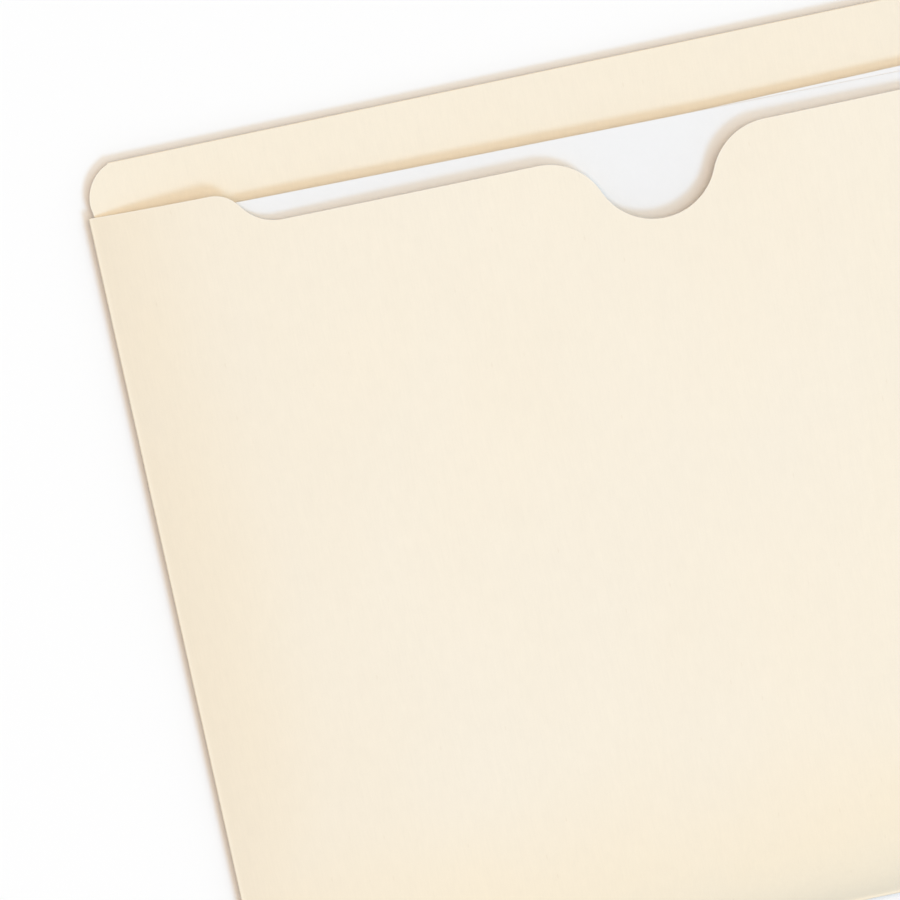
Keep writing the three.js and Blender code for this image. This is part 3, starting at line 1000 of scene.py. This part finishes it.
def dry_glue():
    """Two paste tones mixed by blotches, with a sheen that follows them and ripples in the surface."""
    finish = Finish("dry_glue", GLUE_SHINE)
    blotches = finish.noise(GLUE_BLOTCHES, 4.0, 0.6)
    ripples = finish.noise(GLUE_RIPPLES, 2.0)
    colour = finish.mix(finish.between(blotches, 0.35, 0.65, 0.0, 1.0), GLUE_THICK, GLUE_THIN)
    colour = finish.dimmed(colour, finish.swing(ripples, 0.03))
    return finish.completed(colour, finish.spread(blotches, 0.35, 0.55), ripples, GLUE_RELIEF)


glue_finish = dry_glue()
for glue_line in ("tab_glue", "left_side_glue", "right_side_glue"):
    paint(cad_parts[glue_line], glue_finish)
print("materials:", sorted(material.name for material in bpy.data.materials))

# %% [markdown]
# ## Paint the pieces and let them ride
#
# The imported model has three bodies: the jacket, and each sheet, which slides out of the mouth. Every new
# piece rides on the body of the imported piece that it stands for, and hides that one. A look is a slot's
# name, the finish of the faces and the finish of the cut edge.

# %% Give each piece its look and its body
BOARD_LOOK = ("manila_board", board_finish, board_edge_finish)
SIDE_FOLD_LOOK = ("manila_crease", fold_along_y, board_edge_finish)
LEVEL_FOLD_LOOK = ("manila_crease", fold_along_x, board_edge_finish)
PAPER_LOOK = ("white_paper", paper_finish, paper_edge_finish)
PLACES = (
    (front_panel_board, "front_panel", "jacket", BOARD_LOOK),
    (back_panel_board, "back_panel", "jacket", BOARD_LOOK),
    (tab_second_ply, "tab_reinforcement", "jacket", BOARD_LOOK),
    (left_flap, "left_side_flap", "jacket", BOARD_LOOK),
    (right_flap, "right_side_flap", "jacket", BOARD_LOOK),
    (left_fold, "left_side_crease", "jacket", SIDE_FOLD_LOOK),
    (right_fold, "right_side_crease", "jacket", SIDE_FOLD_LOOK),
    (bottom_fold, "bottom_crease", "jacket", LEVEL_FOLD_LOOK),
    (tab_fold, "tab_crease", "jacket", LEVEL_FOLD_LOOK),
    (front_sheet, "front_document", "front_document_body", PAPER_LOOK),
    (rear_sheet, "rear_document", "rear_document_body", PAPER_LOOK),
)
for piece, node, body, (slot, *finishes) in PLACES:
    paint(piece, *finishes)
    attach(piece, body)
    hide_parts(node)
print("pieces that stand for packed ones:", len(PLACES))

# %% [markdown]
# ## The camera
#
# The photograph was taken from almost straight above with a long lens, turned a little, and so close that
# the jacket runs out of it on two sides. The place, turn and lens are those at which the model's edges fall
# on the photograph's.

# %% Place the camera
CAMERA_PLACE = (-0.0576, 0.3155, 1.3999)
CAMERA_TURN = (0.20415, 0.01369, 0.20751)
FRAME_PIXELS = 900
SENSOR_WIDTH = 36.0
FOCAL_PIXELS = 5342.8
NEAREST_SEEN, FARTHEST_SEEN = 0.05, 20.0


def place_camera():
    """The turn is a rotation vector from the jacket's frame to the camera's, so the camera object takes the
    opposite turn. The lens is the focal length in pixels over the frame's pixels, times the sensor."""
    data = bpy.data.cameras.new("camera")
    data.sensor_width = SENSOR_WIDTH
    data.lens = FOCAL_PIXELS / FRAME_PIXELS * SENSOR_WIDTH
    data.clip_start, data.clip_end = NEAREST_SEEN, FARTHEST_SEEN
    camera = in_scene("camera", data)
    camera.location = CAMERA_PLACE
    camera.rotation_mode = "QUATERNION"
    turn = np.array(CAMERA_TURN)
    angle = float(np.linalg.norm(turn))
    camera.rotation_quaternion = Quaternion(turn / angle, -angle)
    bpy.context.scene.camera = camera
    return camera


camera = place_camera()
print("lens: %.1f mm" % camera.data.lens)

# %% [markdown]
# ## Light
#
# A product on a white sweep stands in a lot of soft light. Three lamps and the world share one level, and
# together they are neutral, so a white sheet stays white. The key lamp is small and a little cool, and draws
# the crisp shadows along the edges. A broad lamp at the right softens them, and a broad warm one high over
# the tab keeps its shadows light and warm. The world gives the rest. Where each lamp stands, and its share,
# follow from the widths and the tones of the shadows.
#
# A sun lamp's strength is the light that a surface square to it takes in, and a matt surface sends out its
# colour times that over pi. The world's strength is already what a matt surface sends out.

# %% Light the jacket
LIGHT_LEVEL = 1.04
PURE_WHITE = (1.0, 1.0, 1.0)
LAMPS = (  # name, share in red, green and blue, then azimuth, elevation and width in degrees
    ("key_lamp", (0.096, 0.176, 0.268), -45.0, 57.0, 17.0),
    ("side_lamp", (0.149, 0.195, 0.212), 20.0, 65.0, 40.0),
    ("fill_lamp", (0.388, 0.270, 0.165), 90.0, 75.0, 40.0),
)


def soft_lamp(name, share, azimuth, elevation, width):
    """A sun lamp whose disc is as wide as the given angle in degrees. On a level surface it gives its share
    of the light level, so its strength is that times pi over the sine of its elevation."""
    data = bpy.data.lights.new(name, "SUN")
    strongest = max(share)
    data.color = [s / strongest for s in share]
    data.energy = LIGHT_LEVEL * strongest * math.pi / math.sin(math.radians(elevation))
    data.angle = math.radians(width)
    turn = (math.radians(90 - elevation), 0, math.radians(azimuth + 90))
    in_scene(name, data).rotation_euler = turn


def seen_directly(tree):
    """1 for rays from the camera, and for those that mirrors and glass send on, and 0 for other rays."""
    path = add_node(tree, "ShaderNodeLightPath")
    seen = path.outputs["Is Camera Ray"]
    for ray in ("Is Glossy Ray", "Is Transmission Ray"):
        either = {0: seen, 1: path.outputs[ray]}
        seen = add_node(tree, "ShaderNodeMath", either, operation="MAXIMUM").outputs["Value"]
    return seen


def look_by_ray(tree, kind, to_others, to_eye, output_kind):
    """One shader for the light that is passed on and one for the light that is seen, mixed by the ray."""
    tree.nodes.clear()
    inputs = {"Fac": seen_directly(tree)}
    for number, colour in ((1, to_others), (2, to_eye)):
        inputs[number] = add_node(tree, kind, {"Color": (*colour, 1.0)}).outputs[0]
    both = add_node(tree, "ShaderNodeMixShader", inputs)
    add_node(tree, output_kind, {"Surface": both.outputs["Shader"]})


def white_world():
    """The world gives what the lamps leave of the light level, and looks white."""
    world = bpy.data.worlds.new("studio")
    bpy.context.scene.world = world
    world.use_nodes = True
    given = np.sum([lamp[1] for lamp in LAMPS], axis=0)
    rest = (LIGHT_LEVEL * (1 - given)).tolist()
    look_by_ray(world.node_tree, "ShaderNodeBackground", rest, PURE_WHITE, "ShaderNodeOutputWorld")
    print("the world's light:", np.round(rest, 3))


white_world()
for lamp in LAMPS:
    soft_lamp(*lamp)

# %% [markdown]
# ## Floor
#
# The floor is a plain white sweep a little below the jacket, because the edges of a filled jacket never
# touch the table all over. It looks white to the camera and keeps the jacket's shadow, but it sends less than
# half as much light back up, which leaves the jacket's own edges crisp against it.

# %% Lay the floor
FLOOR_HALF_SIZE = 6.0
FLOOR_DROP = 0.003
FLOOR_TO_EYE = (0.955, 0.955, 0.955)
FLOOR_TO_OTHERS = (0.42, 0.42, 0.42)


def pale_floor():
    """A flat square with a matt white finish, brighter to the eye than to the light that it passes on."""
    mesh = bpy.data.meshes.new("floor")
    sides = ((-1, -1), (1, -1), (1, 1), (-1, 1))
    corners = [(x * FLOOR_HALF_SIZE, y * FLOOR_HALF_SIZE, -FLOOR_DROP) for x, y in sides]
    mesh.from_pydata(corners, [], [(0, 1, 2, 3)])
    material = bpy.data.materials.new("white_floor")
    material.use_nodes = True
    look_by_ray(material.node_tree, "ShaderNodeBsdfDiffuse", FLOOR_TO_OTHERS, FLOOR_TO_EYE,
                "ShaderNodeOutputMaterial")
    mesh.materials.append(material)
    floor = in_scene("floor", mesh)


pale_floor()
bpy.context.scene.view_settings.view_transform = "Standard"
